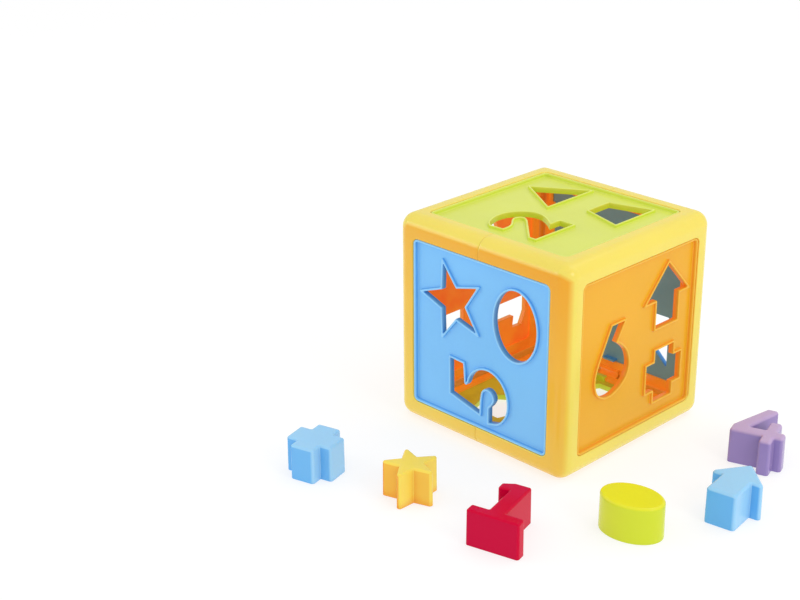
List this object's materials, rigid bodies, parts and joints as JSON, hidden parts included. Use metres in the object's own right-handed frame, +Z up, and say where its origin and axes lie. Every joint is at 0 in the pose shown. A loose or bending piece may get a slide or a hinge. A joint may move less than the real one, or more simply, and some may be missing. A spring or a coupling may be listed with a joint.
{
  "type": "shape sorter",
  "caption": "Hollow cube with shape and digit holes in six snap-in panels, one a hinged door, and loose hollow blocks laid out beside it.",
  "frame": {"origin": "middle of the whole set's footprint, on the surface it rests on", "axes": "+Z up; +X towards the orange face that has the arrow; -Y towards the blue face that has the star"},
  "size_m": [0.2644, 0.2652, 0.15],
  "materials": {
    "frame_yellow": "smooth glossy moulded plastic",
    "panel_blue": "satin moulded plastic",
    "panel_orange": "satin moulded plastic",
    "panel_lime": "satin moulded plastic",
    "block_light_blue": "glossy moulded plastic",
    "block_yellow": "glossy moulded plastic",
    "block_red": "glossy moulded plastic",
    "block_lime": "glossy moulded plastic",
    "block_purple": "glossy moulded plastic"
  },
  "bodies": {
    "cube": {"frame_half_left": "frame_yellow", "frame_half_right": "frame_yellow", "panel_front": "panel_blue", "panel_right": "panel_orange", "panel_top": "panel_lime", "panel_left": "panel_orange", "panel_bottom": "panel_lime"},
    "door": {"door_back": "panel_blue"},
    "cross_block": {"block_cross": "block_light_blue"},
    "star_block": {"block_star": "block_yellow"},
    "one_block": {"block_one": "block_red"},
    "ellipse_block": {"block_ellipse": "block_lime"},
    "arrow_block": {"block_arrow": "block_light_blue"},
    "four_block": {"block_four": "block_purple"}
  },
  "joints": [
    {"name": "door_hinge", "type": "hinge", "parent": "cube", "child": "door", "pos_m": [-0.05719, 0.13059, 0.1314], "axis": [1, 0, 0], "range_deg": [0, 105]},
    {"name": "cross_lift", "type": "slide", "parent": "cube", "child": "cross_block", "axis": [0, 0, 1], "range_m": [0, 0.06]},
    {"name": "star_lift", "type": "slide", "parent": "cube", "child": "star_block", "axis": [0, 0, 1], "range_m": [0, 0.06]},
    {"name": "one_lift", "type": "slide", "parent": "cube", "child": "one_block", "axis": [0, 0, 1], "range_m": [0, 0.06]},
    {"name": "ellipse_lift", "type": "slide", "parent": "cube", "child": "ellipse_block", "axis": [0, 0, 1], "range_m": [0, 0.06]},
    {"name": "arrow_lift", "type": "slide", "parent": "cube", "child": "arrow_block", "axis": [0, 0, 1], "range_m": [0, 0.06]},
    {"name": "four_lift", "type": "slide", "parent": "cube", "child": "four_block", "axis": [0, 0, 1], "range_m": [0, 0.06]}
  ]
}
